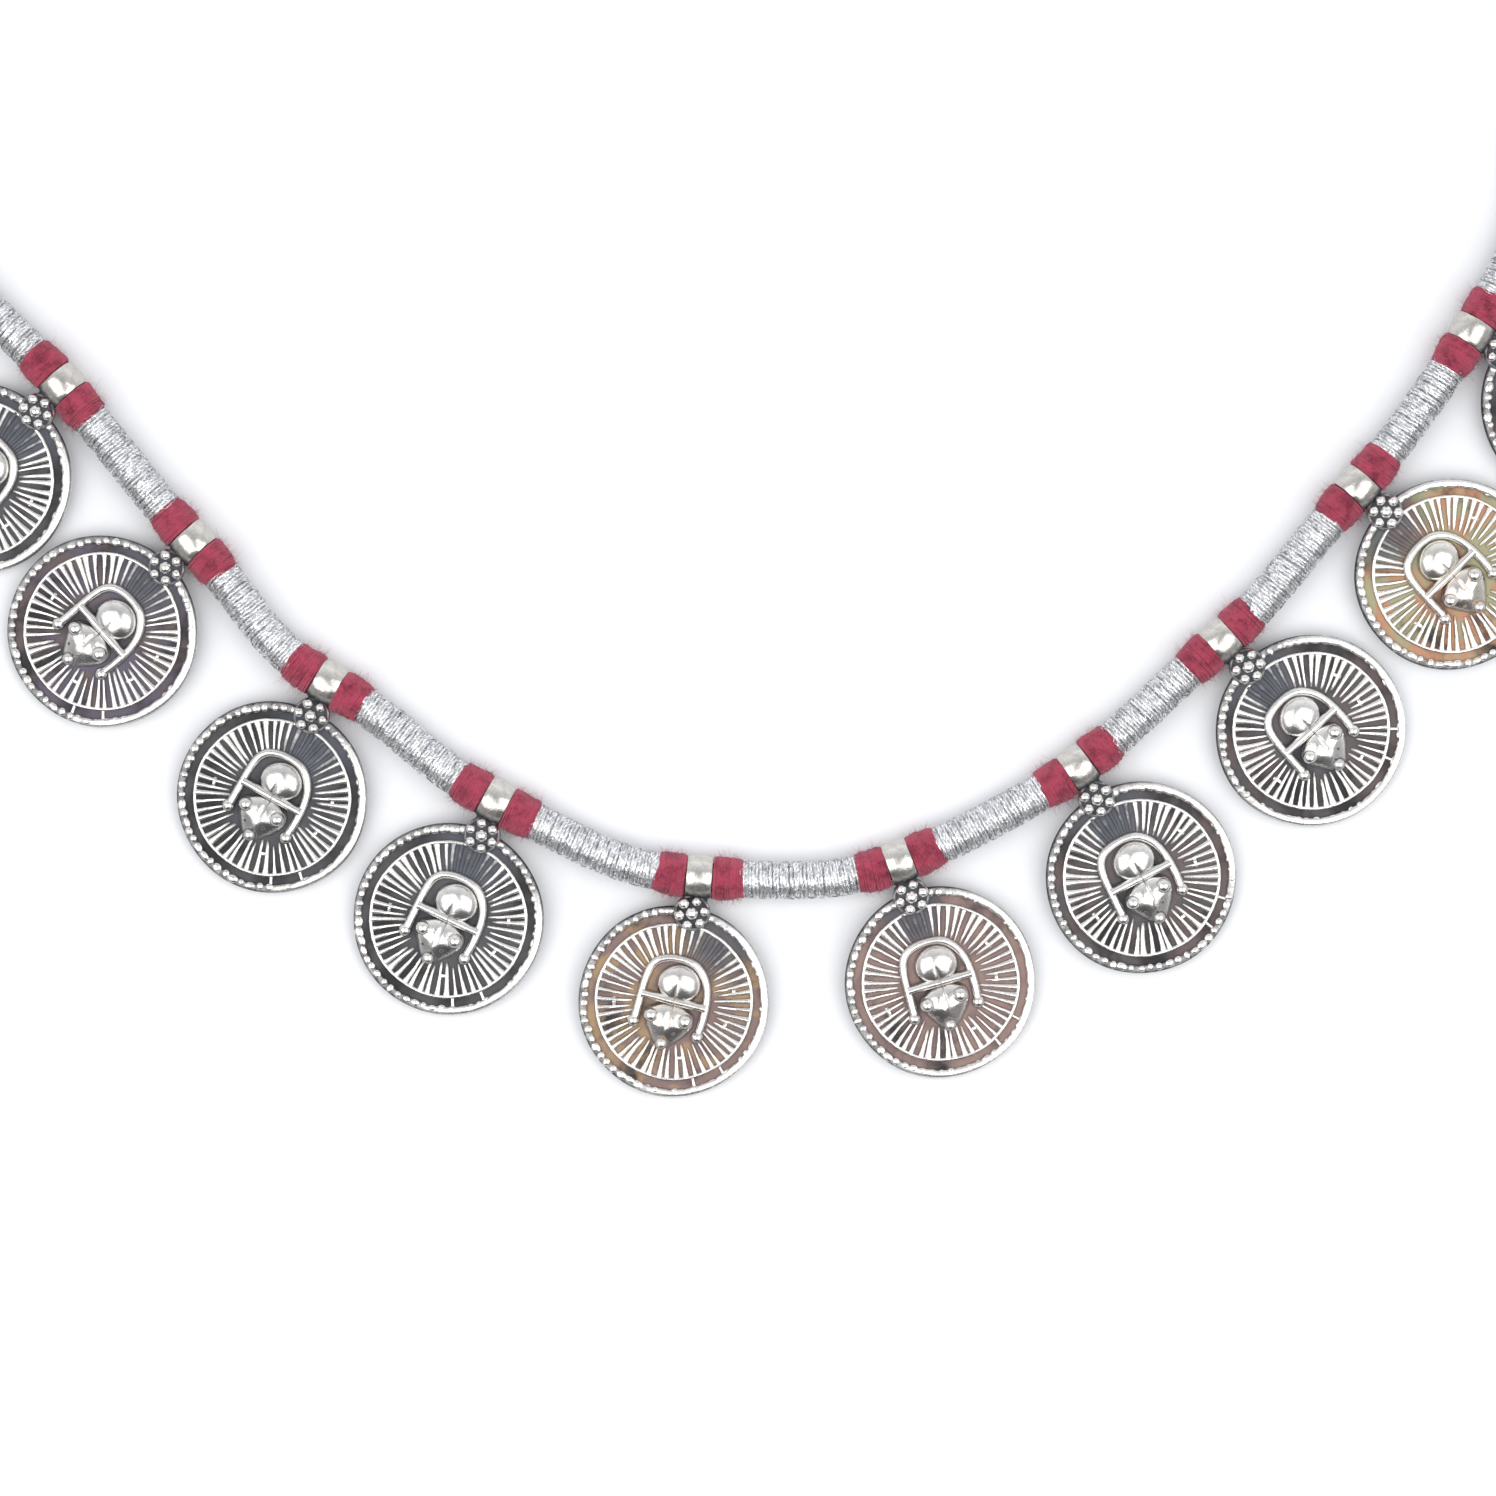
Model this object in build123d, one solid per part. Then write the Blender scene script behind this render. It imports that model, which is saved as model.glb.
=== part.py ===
from build123d import *
import math
import os

# A necklace of cast coins on a wound cord, lying flat as a closed loop.
# Millimetres. +Z is up, the surface it lies on is Z = 0, and the row of coins hangs toward -Y.

# The cord: a cotton core, with silver thread wound on it between the coins.
core_d = 3.1
wrap_d = 3.95
wound_clearance = 0.15
end_gap = 0.2
bail_gap = 0.36

# The crimson bindings, one on each side of every bail.
binding_d = 4.7
binding_length = 2.85
binding_round = 0.4

# The bail: a band round the cord, with a strap down to the coin.
bail_w = 2.7
bail_d = 4.66
bail_edge_d = 4.3
bail_bore_d = 3.7
strap_w = 2.3
strap_t = 0.8

# The coin's blank.
coin_d = 20.3
coin_t = 0.9
coin_back_round = 0.25
coin_reach = 13.45

# The row of beads round the rim.
bead_count = 60
bead_d = 0.92
bead_ring_d = 19.28

# The raised ring, the rays inside it and the small bars and links cast with them.
ring_d = 16.86
ring_w = 0.46
relief_h = 0.3
ray_count = 53
ray_w = 0.44
ray_inner_r = 4.25
ray_start_steps = [0.0, 0.45, 0.15, 0.6, 0.3]
worn_half_angle = 35
worn_share = 0.5
groove_bar_angles = [134, 155]
groove_bar_w = 0.45
groove_bar_h = 0.16
link_w = 0.3
link_places = [(70, 6.4), (105, 5.9), (163, 6.0), (260, 6.3)]

# The motif in the middle: an arch of wire with a crossbar, over two domes.
wire_d = 0.78
wire_lift = 0.1
arch_points = [(-3.6, -2.6), (-3.5, 4.6), (1.5, 4.6), (3.5, 1.4), (3.15, -3.2)]
arch_bends = [2.3, 1.8, 2.6]
crossbar_ends = [(-3.6, 0.3), (3.35, 0.0)]
crossbar_d = 0.6
arch_ball_d = 1.22
upper_dome_at = (0.0, 1.97)
upper_dome_size = (4.9, 4.1, 1.3)
lower_dome_at = (0.05, -1.9)
lower_dome_size = (5.2, 3.6, 1.3)
chin_at = (-0.2, -3.35)
chin_size = (2.5, 3.1, 0.85)
eye_d = 1.36
eye_places = [(-2.0, -1.75), (1.6, -1.65)]
tip_ball_d = 1.2
tip_ball_at = (-0.45, -4.45)

# The rosette of grains where the strap meets the rim.
rosette_d = 3.84
rosette_reach = 9.65
rosette_skirt = 0.3
rosette_dome = 0.55
grain_d = 1.16
grain_ring_r = 1.4
grain_count = 6
grain_lift = 0.1

# The barrel at the back, which the two ends of the cord seat in.
barrel_length = 12.0
barrel_seat = 4.5
barrel_round = 0.6

# How far one piece sinks into the next where they are cast or soldered together.
sink = 0.15

# The cord's route, seen from above, from the barrel's right end round by the coins and back.
cord_route = [
    (1.8, 78.75), (23.4, 78.75), (47.1, 77.6), (68.1, 72.0), (83.9, 59.3), (91.5, 43.5), (91.8, 27.2),
    (88.2, 13.2), (83.2, 3.2), (78.8, -3.8), (71.8, -13.6), (66.0, -20.0), (58.2, -29.8), (51.8, -35.3),
    (42.4, -44.2), (35.6, -49.0), (25.2, -54.5), (15.8, -58.0), (5.2, -58.2), (-7.0, -57.2),
    (-17.6, -52.0), (-26.2, -47.4), (-35.0, -39.8), (-44.0, -34.8), (-50.8, -25.5), (-56.0, -20.0),
    (-64.4, -9.5), (-69.2, -3.8), (-78.6, 5.2), (-86.8, 14.6), (-92.0, 26.6), (-90.8, 43.6),
    (-82.4, 59.8), (-67.6, 72.0), (-48.8, 78.0), (-24.4, 78.75), (-1.8, 78.75),
]
bend_share = 0.45

# Where the bails sit along the cord: the first from the barrel's end of the route, then each pitch.
first_bail = 108.4
bail_pitch = 21.2
pitch_shares = [0.991, 0.981, 0.953, 1.024, 0.948, 1.005, 1.005, 1.085, 1.024, 0.976, 1.014, 1.0, 0.986]

# How many degrees each coin leans to one side of its bail.
coin_leans = [1.5, -2.0, -1.2, -0.8, 4.4, -6.0, -1.6, -7.0, 6.0, 3.4, 1.2, 5.5, 2.0, -1.5]

# Heights and radii that follow from the sizes above.
cord_z = binding_d / 2
core_r = core_d / 2
wound_r = core_r + wound_clearance
coin_r = coin_d / 2
top_z = coin_t


def on_coin(radius, degrees):
    """A point on the coin, by its distance from the middle and clockwise angle from the bail."""
    turn = math.radians(degrees)
    return radius * math.sin(turn), radius * math.cos(turn)


def ball(x, y, z, diameter):
    return Pos(x, y, z) * Sphere(diameter / 2)


def dome(place, size, z):
    """The upper half of a ball drawn out to the given length, width and height."""
    length, width, height = size
    whole = scale(Sphere(1), by=(length / 2, width / 2, height))
    return Pos(*place, z) * split(whole, Plane.XY, keep=Keep.TOP)


def cap(radius, height, z):
    """A round cap cut from a ball, by the radius of its foot and its height."""
    ball_r = (radius**2 + height**2) / (2 * height)
    return Pos(0, 0, z) * split(Pos(0, 0, height - ball_r) * Sphere(ball_r), Plane.XY, keep=Keep.TOP)


def cap_height(x, y, radius, height):
    """How high a round cap stands over its foot at a point."""
    ball_r = (radius**2 + height**2) / (2 * height)
    return math.sqrt(ball_r**2 - x**2 - y**2) - ball_r + height


def dome_height(x, y, place, size):
    """How high a dome stands over its foot at a point."""
    length, width, height = size
    out = ((x - place[0]) / (length / 2)) ** 2 + ((y - place[1]) / (width / 2)) ** 2
    return height * math.sqrt(max(0, 1 - out))


def bar(radius_from, radius_to, degrees, width, height):
    """A straight low bar that points away from the middle of the coin."""
    x, y = on_coin((radius_from + radius_to) / 2, degrees)
    block = Box(width, radius_to - radius_from, height + sink)
    return Pos(x, y, top_z + (height - sink) / 2) * Rot(0, 0, -degrees) * block


def blank():
    plate = Pos(0, 0, coin_t / 2) * Cylinder(coin_r, coin_t)
    back = plate.edges().group_by(Axis.Z)[0]
    return fillet(back, coin_back_round)


def rim_beads():
    step = 360 / bead_count
    places = [on_coin(bead_ring_d / 2, step * i) for i in range(bead_count)]
    return [ball(x, y, top_z, bead_d) for x, y in places]


def raised_ring():
    height = relief_h + sink
    outer = Cylinder(ring_d / 2, height)
    inner = Cylinder(ring_d / 2 - ring_w, height)
    return Pos(0, 0, top_z + (relief_h - sink) / 2) * (outer - inner)


def rays():
    made = []
    for i in range(ray_count):
        degrees = 360 * (i + 0.5) / ray_count
        from_bail = min(degrees, 360 - degrees)
        height = relief_h * (worn_share if from_bail < worn_half_angle else 0.93)
        start = ray_inner_r + ray_start_steps[i % len(ray_start_steps)]
        made.append(bar(start, ring_d / 2 - ring_w / 2, degrees, ray_w, height))
    return made


def groove_bars():
    outer = bead_ring_d / 2
    return [bar(ring_d / 2 - ring_w / 2, outer, a, groove_bar_w, groove_bar_h) for a in groove_bar_angles]


def ray_links():
    made = []
    for degrees, radius in link_places:
        span = 2 * math.pi * radius / ray_count
        made.append(bar(radius - link_w / 2, radius + link_w / 2, degrees, span, relief_h * 0.8))
    return made


def motif():
    """The arch with balls on its ends, the crossbar, the domes and their small balls."""
    z = top_z + wire_lift
    line = FilletPolyline(*[(x, y, z) for x, y in arch_points], radius=arch_bends)
    arch = sweep(Plane(origin=line @ 0, z_dir=line % 0) * Circle(wire_d / 2), path=line)
    (x0, y0), (x1, y1) = crossbar_ends
    rod = Line((x0, y0, z), (x1, y1, z))
    crossbar = sweep(Plane(origin=rod @ 0, z_dir=rod % 0) * Circle(crossbar_d / 2), path=rod)
    foot = top_z - sink
    made = [arch, crossbar]
    made += [ball(x, y, z + wire_d / 4, arch_ball_d) for x, y in (arch_points[0], arch_points[-1])]
    made += [dome(upper_dome_at, upper_dome_size, foot), dome(lower_dome_at, lower_dome_size, foot)]
    made.append(dome(chin_at, chin_size, foot))
    for x, y in eye_places:
        made.append(ball(x, y, foot + dome_height(x, y, lower_dome_at, lower_dome_size), eye_d))
    made.append(ball(*tip_ball_at, top_z + tip_ball_d / 4, tip_ball_d))
    return made


def rosette():
    skirt_h = rosette_skirt + sink
    skirt = Pos(0, 0, top_z - sink + skirt_h / 2) * Cylinder(rosette_d / 2, skirt_h)
    foot_r = rosette_d / 2 - sink
    height = rosette_dome + sink
    foot_z = top_z + rosette_skirt - sink
    made = [skirt, cap(foot_r, height, foot_z), ball(0, 0, foot_z + height + grain_lift, grain_d)]
    for i in range(grain_count):
        x, y = on_coin(grain_ring_r, 360 * i / grain_count + 12)
        made.append(ball(x, y, foot_z + cap_height(x, y, foot_r, height) + grain_lift, grain_d))
    return [Pos(0, rosette_reach, 0) * piece for piece in made]


def coin():
    """One coin with all of its relief, its middle at the origin and its back at Z = 0."""
    relief = rim_beads() + [raised_ring()] + rays() + groove_bars() + ray_links()
    return blank() + (relief + motif() + rosette())


def bail():
    """The band round the cord, along X at the origin, and the strap toward -Y."""
    half = bail_w / 2
    bore, edge, middle = bail_bore_d / 2, bail_edge_d / 2, bail_d / 2
    section = make_face([
        Line((-half, bore), (half, bore)),
        Line((half, bore), (half, edge)),
        ThreePointArc((half, edge), (0, middle), (-half, edge)),
        Line((-half, edge), (-half, bore)),
    ])
    band = revolve(section, Axis.X)
    strap_from = bore + sink
    strap_to = coin_reach - rosette_reach + sink
    strap_length = strap_to - strap_from
    strap = Pos(0, -(strap_from + strap_to) / 2, 0) * Box(strap_w, strap_length, strap_t)
    return band + strap


def resting_tilt(lean):
    """The turn about the bail that sets the coin's far edge on the floor."""
    far = coin_reach * math.cos(math.radians(lean)) + coin_r - coin_back_round
    drop = coin_t / 2 - coin_back_round
    height = cord_z - coin_back_round
    return math.degrees(math.asin(height / math.hypot(far, drop)) - math.atan2(drop, far))


def pendant(coin_shape, lean):
    """A coin soldered to its bail, tilted as it lies, with the bail's axis along X."""
    hung = Rot(0, 0, lean) * Pos(0, -coin_reach, -coin_t / 2) * coin_shape
    return Rot(resting_tilt(lean), 0, 0) * (bail() + hung)


def bend_radii(points):
    """One radius for each inner point, so that each arc takes the same share of the shorter run."""
    radii = []
    for before, here, after in zip(points, points[1:], points[2:]):
        run_in, run_out = here - before, after - here
        half_turn = math.radians(run_in.get_angle(run_out)) / 2
        radii.append(bend_share * min(run_in.length, run_out.length) / math.tan(half_turn))
    return radii


def place_on_cord(line, distance):
    """The plane of a bail at a distance along the cord, with -Y pointing out of the loop."""
    share = distance / line.length
    along = line % share
    return Plane(origin=line @ share, x_dir=(-along.X, -along.Y, 0), z_dir=(0, 0, 1))


def sleeve(line, start, end, outer_d):
    """A tube round the core, from one distance along the cord to another."""
    part = line.trim(start / line.length, end / line.length)
    section = Plane(origin=part @ 0, z_dir=part % 0) * (Circle(outer_d / 2) - Circle(wound_r))
    return sweep(section, path=part)


def binding():
    """A crimson binding round the cord, along X, with its outer edges rounded."""
    hole = Rot(0, 90, 0) * Cylinder(wound_r, binding_length)
    body = Rot(0, 90, 0) * Cylinder(binding_d / 2, binding_length)
    return fillet(body.edges().filter_by(GeomType.CIRCLE), binding_round) - hole


def barrel():
    """The closing piece at the back, along X, with a blind hole in each end for the cord."""
    body = Rot(0, 90, 0) * Cylinder(cord_z, barrel_length)
    body = fillet(body.edges().filter_by(GeomType.CIRCLE), barrel_round)
    hole = Rot(0, 90, 0) * Cylinder(wound_r, barrel_seat)
    side = (barrel_length - barrel_seat) / 2
    return body - Pos(side, 0, 0) * hole - Pos(-side, 0, 0) * hole


def save(shape, node):
    export_step(shape, "parts/" + node + ".step")
    print(node, "volume", round(shape.volume, 2), "valid", shape.is_valid, "solids", len(shape.solids()))


os.makedirs("parts", exist_ok=True)

# The cord's line and its core.
route = [Vector(x, y, cord_z) for x, y in cord_route]
radii = bend_radii(route)
print("bend radii", [round(r, 1) for r in radii])
cord_line = FilletPolyline(*route, radius=radii)
core_tube = sweep(Plane(origin=cord_line @ 0, z_dir=cord_line % 0) * Circle(core_r), path=cord_line)
expected = cord_line.length * math.pi * core_r**2
print("cord length", round(cord_line.length, 2), "volume share", round(core_tube.volume / expected, 4))
save(core_tube, "core_cord")

# The barrel, midway between the two ends of the route.
barrel_x = (cord_route[0][0] + cord_route[-1][0]) / 2
save(Pos(barrel_x, cord_route[0][1], cord_z) * barrel(), "clasp_barrel")

# Bail places along the cord.
stations = [first_bail]
for share in pitch_shares:
    stations.append(stations[-1] + bail_pitch * share)
print("bail stations", [round(s, 1) for s in stations])

# The coins, and a binding on each side of every bail.
coin_shape = coin()
print("coin volume", round(coin_shape.volume, 2), "solids", len(coin_shape.solids()))
binding_mid = bail_w / 2 + bail_gap + binding_length / 2
bound_reach = binding_mid + binding_length / 2 + end_gap
for number, (station, lean) in enumerate(zip(stations, coin_leans), start=1):
    save(place_on_cord(cord_line, station) * pendant(coin_shape, lean), f"coin_pendant_{number:02d}")
    save(place_on_cord(cord_line, station - binding_mid) * binding(), f"binding_{number:02d}_a")
    save(place_on_cord(cord_line, station + binding_mid) * binding(), f"binding_{number:02d}_b")

# The silver thread: one sleeve between neighbouring bindings, and one each side up to the barrel.
for number, (left, right) in enumerate(zip(stations, stations[1:]), start=1):
    wrap = sleeve(cord_line, left + bound_reach, right - bound_reach, wrap_d)
    save(wrap, f"silver_wrap_{number:02d}")
barrel_reach = barrel_x + barrel_length / 2 + end_gap - cord_route[0][0]
last = cord_line.length - barrel_reach
save(sleeve(cord_line, barrel_reach, stations[0] - bound_reach, wrap_d), "back_wrap_a")
save(sleeve(cord_line, stations[-1] + bound_reach, last, wrap_d), "back_wrap_b")
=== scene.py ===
import bisect
import random
from math import asin, atan2, cos, exp, hypot, pi, radians, sin, sqrt, tau

import bmesh
import bpy
from mathutils import Matrix, Vector


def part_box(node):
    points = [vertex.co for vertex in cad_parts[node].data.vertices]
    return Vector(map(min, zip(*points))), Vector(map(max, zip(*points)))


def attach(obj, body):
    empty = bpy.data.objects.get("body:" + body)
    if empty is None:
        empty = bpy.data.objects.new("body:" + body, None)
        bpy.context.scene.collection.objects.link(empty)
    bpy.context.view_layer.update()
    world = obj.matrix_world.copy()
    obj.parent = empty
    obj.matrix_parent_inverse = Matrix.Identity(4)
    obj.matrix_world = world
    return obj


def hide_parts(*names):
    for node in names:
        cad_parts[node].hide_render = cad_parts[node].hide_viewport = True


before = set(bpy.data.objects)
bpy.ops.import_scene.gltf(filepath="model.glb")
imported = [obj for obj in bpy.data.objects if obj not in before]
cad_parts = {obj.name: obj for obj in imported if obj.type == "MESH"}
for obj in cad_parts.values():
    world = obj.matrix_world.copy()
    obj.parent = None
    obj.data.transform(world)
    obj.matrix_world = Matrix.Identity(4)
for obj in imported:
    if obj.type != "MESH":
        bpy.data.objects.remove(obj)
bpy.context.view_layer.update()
print("frame loaded")

# Lengths below are in millimetres unless a note says otherwise.
mm = 0.001


class Piece:
    # Gathers points, faces and marks, then becomes one mesh object that rides on the necklace.
    def __init__(self, name):
        self.name = name
        self.points = []
        self.faces = []
        # The relief mark also carries painted shade: it is lowered in some creases and on some sides to
        # darken them.
        self.relief = []  # 0 in the hollows, 1 on the worn tops
        self.spot = []  # the place that the patterns are read from

    def add(self, rings, relief=1.0, closed=False):
        # Rings are lists of points of one length, joined in order.
        start = len(self.points)
        around = len(rings[0])
        for row, ring in enumerate(rings):
            self.points += ring
            self.spot += ring
            self.relief += [relief(row, column) if callable(relief) else relief for column in range(around)]
        rows = len(rings) if closed else len(rings) - 1
        for row in range(rows):
            here = start + row * around
            there = start + (row + 1) % len(rings) * around
            for column in range(around):
                beside = (column + 1) % around
                self.faces.append((here + column, here + beside, there + beside, there + column))
        if not closed:
            last = start + (len(rings) - 1) * around
            self.faces.append(tuple(range(start + around - 1, start - 1, -1)))
            self.faces.append(tuple(range(last, last + around)))

    def moved(self, name, matrix, shift):
        copy = Piece(name)
        copy.points = [matrix @ point for point in self.points]
        copy.faces = list(self.faces)
        copy.relief = list(self.relief)
        copy.spot = [point + shift for point in self.spot]
        return copy

    def join(self, other):
        start = len(self.points)
        self.points += other.points
        self.spot += other.spot
        self.relief += other.relief
        self.faces += [tuple(start + corner for corner in face) for face in other.faces]

    def make(self, material, slot, *nodes, sharp=180):
        mesh = bpy.data.meshes.new(self.name)
        mesh.from_pydata([point * mm for point in self.points], [], self.faces)
        tidy = bmesh.new()
        tidy.from_mesh(mesh)
        bmesh.ops.recalc_face_normals(tidy, faces=tidy.faces)
        tidy.to_mesh(mesh)
        tidy.free()
        mesh.shade_smooth()
        mesh.set_sharp_from_angle(angle=radians(sharp))
        mesh.attributes.new("relief", "FLOAT", "POINT").data.foreach_set("value", self.relief)
        spots = [number for point in self.spot for number in point]
        mesh.attributes.new("spot", "FLOAT_VECTOR", "POINT").data.foreach_set("vector", spots)
        mesh.materials.append(material)
        thing = addThing(self.name, mesh)
        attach(thing, "root")
        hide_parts(*nodes)


def addThing(name, data):
    thing = bpy.data.objects.new(name, data)
    bpy.context.collection.objects.link(thing)
    return thing


def onCircle(radius, degrees, height):
    # Clockwise from the bail, as the coin is seen from above.
    turn = radians(degrees)
    return Vector((radius * sin(turn), radius * cos(turn), height))


def clamped(value, low=0.0, high=1.0):
    return min(high, max(low, value))


def eased(values, place):
    # The value at a place between two whole numbers of the list.
    whole = int(place)
    part = place - whole
    return values[whole] * (1 - part) + values[whole + 1] * part


def threadRing(centre, one, other, high, wide, sides):
    # A thread's section, high along one direction and wide along the other.
    turns = [tau * k / sides for k in range(sides)]
    return [centre + one * cos(turn) * high + other * sin(turn) * wide for turn in turns]


def ridgeSection(half, high, foot, shoulder, flat):
    # A low rounded ridge; shoulder is a share of its height, and flat of its width.
    return [(-half, -foot), (-half * 0.9, high * shoulder), (-half * flat, high),
            (half * flat, high), (half * 0.9, high * shoulder), (half, -foot)]


def ballRings(centre, across, high, sides, rows, deepest):
    # A ball, or the part of one above a share of its height.
    rings = []
    low = asin(deepest)
    for row in range(rows + 1):
        lift = low + (pi / 2 - low) * row / rows
        radius = max(cos(lift), 0.03) * across / 2
        level = centre + Vector((0, 0, sin(lift) * high / 2))
        rings.append(threadRing(level, Vector((1, 0, 0)), Vector((0, 1, 0)), radius, radius, sides))
    return rings


def rising(low, step, most=1.0):
    # Relief that grows from one row to the next.
    return lambda row, column: min(most, low + row * step)


def turnedRings(profile, steps, middle):
    # A shape turned about a line along X; its profile gives places along the line and radii.
    rings = []
    for k in range(steps):
        turn = tau * k / steps
        rings.append([middle + Vector((x, cos(turn) * r, sin(turn) * r)) for x, r in profile])
    return rings


def smoothLine(points, steps, closed=False):
    # A smooth line through the given points.
    out = []
    count = len(points)
    for i in range(count if closed else count - 1):
        places = [(i + k) % count if closed else clamped(i + k, 0, count - 1) for k in (-1, 0, 1, 2)]
        before, here, there, after = (points[place] for place in places)
        for step in range(steps):
            t = step / steps
            out.append(0.5 * (2 * here + (there - before) * t
                              + (2 * before - 5 * here + 4 * there - after) * t * t
                              + (3 * here - before - 3 * there + after) * t * t * t))
    if not closed:
        out.append(points[-1].copy())
    return out


def wayAt(line, i):
    # The direction of a line at one of its points.
    return (line[min(i + 1, len(line) - 1)] - line[max(i - 1, 0)]).normalized()


def wireRings(line, radius, sides, tall):
    # A wire along a line that lies level; tall is its height as a share of its width.
    rings = []
    for i, point in enumerate(line):
        along = wayAt(line, i)
        side = along.cross(Vector((0, 0, 1))).normalized()
        up = side.cross(along)
        size = radius(i / (len(line) - 1)) if callable(radius) else radius
        rings.append(threadRing(point, side, up, size, size * tall, sides))
    return rings


class Tone:
    # A socket of a shader that can be added, taken away and multiplied.
    def __init__(self, recipe, socket):
        self.recipe = recipe
        self.socket = socket

    def maths(self, operation, one, other):
        return self.recipe.node("ShaderNodeMath", {"operation": operation}, {0: one, 1: other})

    def __add__(self, other):
        return self.maths("ADD", self, other)

    def __radd__(self, other):
        return self.maths("ADD", other, self)

    def __sub__(self, other):
        return self.maths("SUBTRACT", self, other)

    def __rsub__(self, other):
        return self.maths("SUBTRACT", other, self)

    def __mul__(self, other):
        return self.maths("MULTIPLY", self, other)

    def __rmul__(self, other):
        return self.maths("MULTIPLY", other, self)


class Recipe:
    # The nodes of one material, or of the world, and the ways to fill them.
    def __init__(self, owner, last):
        owner.use_nodes = True
        self.owner = owner
        self.tree = owner.node_tree
        self.last = self.tree.nodes[last]

    def node(self, kind, settings, inputs, output=0):
        made = self.tree.nodes.new(kind)
        for key, value in settings.items():
            if key == "stops":
                self.fillRamp(made.color_ramp, value)
            else:
                setattr(made, key, value)
        for key, value in inputs.items():
            self.feed(made.inputs[key], value)
        return Tone(self, made.outputs[output])

    def fillRamp(self, ramp, stops):
        while len(ramp.elements) < len(stops):
            ramp.elements.new(0.5)
        for element, (place, colour) in zip(ramp.elements, stops):
            element.position = place
            element.color = (*colour, 1)

    def feed(self, socket, value):
        if isinstance(value, Tone):
            self.tree.links.new(value.socket, socket)
        elif socket.type == "RGBA":
            socket.default_value = (*value, 1)
        else:
            socket.default_value = value

    def mark(self, name, output="Fac"):
        return self.node("ShaderNodeAttribute", {"attribute_name": name}, {}, output)

    def axes(self, place, names):
        return [self.node("ShaderNodeSeparateXYZ", {}, {0: place}, output=name) for name in names]

    def noise(self, place, scale, detail=3.0, rough=0.55):
        inputs = {"Vector": place, "Scale": scale, "Detail": detail, "Roughness": rough}
        return self.node("ShaderNodeTexNoise", {}, inputs)

    def blend(self, share, low, high):
        return self.node("ShaderNodeMix", {"data_type": "RGBA"}, {0: share, 6: low, 7: high}, output=2)

    def between(self, value, low, high):
        # 0 below low, 1 above high, and smooth between them.
        inputs = {"Value": value, "From Min": low, "From Max": high}
        return self.node("ShaderNodeMapRange", {"interpolation_type": "SMOOTHSTEP"}, inputs)

    def away(self, place, point, start, end):
        # 0 up to one distance from a point of the coin, and 1 from another one on.
        inputs = {0: place, 1: point}
        distance = self.node("ShaderNodeVectorMath", {"operation": "DISTANCE"}, inputs, output="Value")
        return self.between(distance, start, end)

    def set(self, **inputs):
        names = {"colour": "Base Color", "rough": "Roughness", "metal": "Metallic", "normal": "Normal",
                 "gloss": "Specular IOR Level", "sheen": "Sheen Weight", "sheenRough": "Sheen Roughness",
                 "sheenTint": "Sheen Tint"}
        for key, value in inputs.items():
            self.feed(self.last.inputs[names[key]], value)

    def bump(self, height, strength, depth):
        inputs = {"Height": height, "Strength": strength, "Distance": depth * mm}
        self.set(normal=self.node("ShaderNodeBump", {}, inputs))


def materialRecipe(name):
    return Recipe(bpy.data.materials.new(name), "Principled BSDF")


castSilver = {
    "bright": (0.78, 0.77, 0.75),  # the worn tops
    "patina": (0.023, 0.0225, 0.026),  # the blackened hollows
    "bloom": (0.115, 0.125, 0.148),  # the grey haze on them
    "bail": (0.6, 0.575, 0.535),
    "barrelShade": (0.5, 0.48, 0.46),
    "grain": 1.6,  # how fine each pattern is, in patches for each millimetre
    "fine": 7.0,
    "patch": 0.22,
    "hue": 0.35,
    "wear": (0.3, 0.72),  # relief where the patina starts to go, and where it is gone
    "tarnish": (0.43, 0.63),
    "rough": 0.48,
    "polish": 0.27,  # how much less rough the worn tops are
    "dullReach": 8.4,  # from the coin's middle to the middle of its dull place
    "dullFade": (2.2, 0.13),  # where that starts to fade, and over how much for each degree of its spread
    "middleFade": (4.4, 6.4),  # where the haze round the motif starts to fade, and where it is gone
    "rimFade": (9.2, 9.5),
    "rosetteFade": (1.9, 2.4),
    "bailFrom": (10.9, 11.3),
    "pits": [(-1.5, -3.35, 1.6), (0.6, -3.25, 1.75)],
    "pitSize": (0.12, 0.24),
    "highTops": (1.25, 1.6),
    # The cleft line is painted shade along the groove between the upper dome's lobes.
    "domes": (1.3, 1.5),  # height over the coin's back where the cleft line shows
    "cleftAlong": [(-3.1, -2.5), (1.2, 1.9)],
}

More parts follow.
